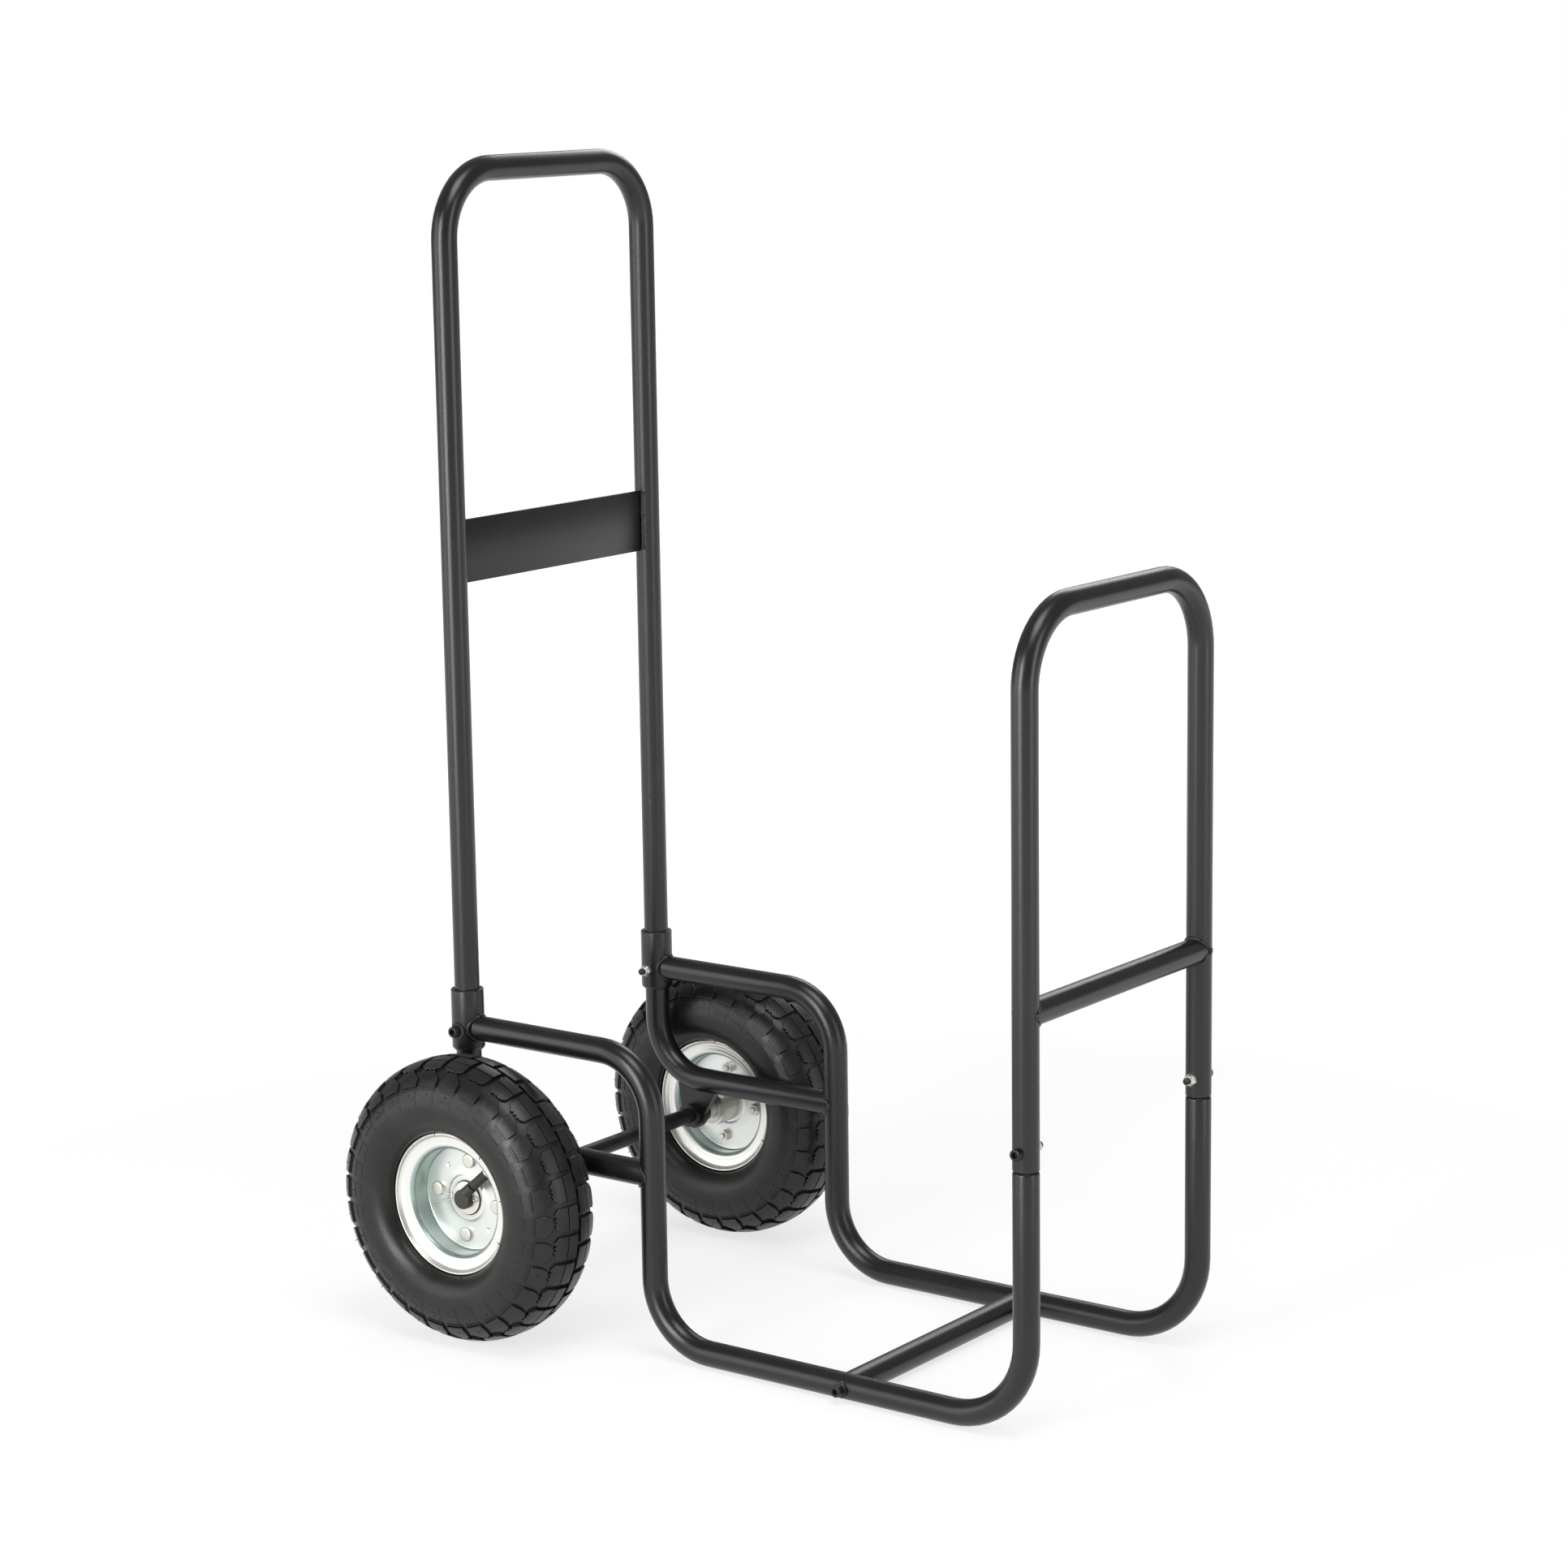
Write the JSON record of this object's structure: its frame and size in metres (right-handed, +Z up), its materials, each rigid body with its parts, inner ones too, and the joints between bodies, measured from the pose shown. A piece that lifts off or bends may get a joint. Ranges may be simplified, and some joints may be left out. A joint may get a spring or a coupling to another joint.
{
  "type": "fireside log cart",
  "caption": "Fireside log cart: a bent-tube cradle with a tall push handle at one end, a lower hoop at the other, and air-filled tyres on pressed steel rims.",
  "frame": {"origin": "on the floor under the middle of the cart's bounding box", "axes": "+X towards the front hoop, +Y across the cart along the axle towards its left side, +Z up"},
  "size_m": [0.7055, 0.473, 1.056],
  "materials": {
    "powder_coat": "satin charcoal powder coat",
    "rim_zinc": "pressed steel with clear zinc plate",
    "bright_zinc": "zinc plated",
    "washer_zinc": "dull zinc plate",
    "bearing_steel": "ground",
    "black_oxide": "black oxide",
    "tyre_rubber": "moulded",
    "tube_rubber": "matt",
    "valve_rubber": "satin",
    "black_plastic": "moulded",
    "nylon": "plain"
  },
  "bodies": {
    "frame": {"handle_frame": "powder_coat", "handle_plate": "powder_coat", "front_hoop": "powder_coat", "hoop_crossbar": "powder_coat", "side_frame_right": "powder_coat", "side_frame_left": "powder_coat", "handle_collar_right": "powder_coat", "handle_collar_left": "powder_coat", "rear_leg_right": "powder_coat", "rear_leg_left": "powder_coat", "axle_hanger_right": "powder_coat", "axle_hanger_left": "powder_coat", "cross_tube": "powder_coat", "cross_tube_inserts": "bright_zinc", "cross_tube_screws": "black_oxide", "saddle_washers": "black_oxide", "hoop_screws": "black_oxide", "hoop_nuts": "bright_zinc", "handle_screws": "black_oxide", "handle_nuts": "bright_zinc", "nylon_rings": "nylon", "axle": "black_oxide", "axle_spacers": "bright_zinc", "axle_washers": "washer_zinc", "cotter_pins": "bright_zinc", "axle_caps": "black_plastic", "bearing_inner_races": "bearing_steel", "hub_spacers": "bright_zinc"},
    "wheel_right": {"tyre_right": "tyre_rubber", "inner_tube_right": "tube_rubber", "rim_outer_right": "rim_zinc", "rim_inner_right": "rim_zinc", "hub_right": "bright_zinc", "rim_bolts_right": "bright_zinc", "rim_nuts_right": "bright_zinc", "bearing_outer_races_right": "bearing_steel", "bearing_balls_right": "bearing_steel", "bearing_seals_right": "bearing_steel", "valve_stem_right": "valve_rubber", "valve_nut_right": "bright_zinc", "valve_cap_right": "black_plastic"},
    "wheel_left": {"tyre_left": "tyre_rubber", "inner_tube_left": "tube_rubber", "rim_outer_left": "rim_zinc", "rim_inner_left": "rim_zinc", "hub_left": "bright_zinc", "rim_bolts_left": "bright_zinc", "rim_nuts_left": "bright_zinc", "bearing_outer_races_left": "bearing_steel", "bearing_balls_left": "bearing_steel", "bearing_seals_left": "bearing_steel", "valve_stem_left": "valve_rubber", "valve_nut_left": "bright_zinc", "valve_cap_left": "black_plastic"}
  },
  "joints": [
    {"name": "wheel_right_spin", "type": "hinge", "parent": "frame", "child": "wheel_right", "pos_m": [-0.22175, -0.1955, 0.131], "axis": [0, 1, 0], "continuous": true},
    {"name": "wheel_left_spin", "type": "hinge", "parent": "frame", "child": "wheel_left", "pos_m": [-0.22175, 0.1955, 0.131], "axis": [0, 1, 0], "continuous": true}
  ]
}
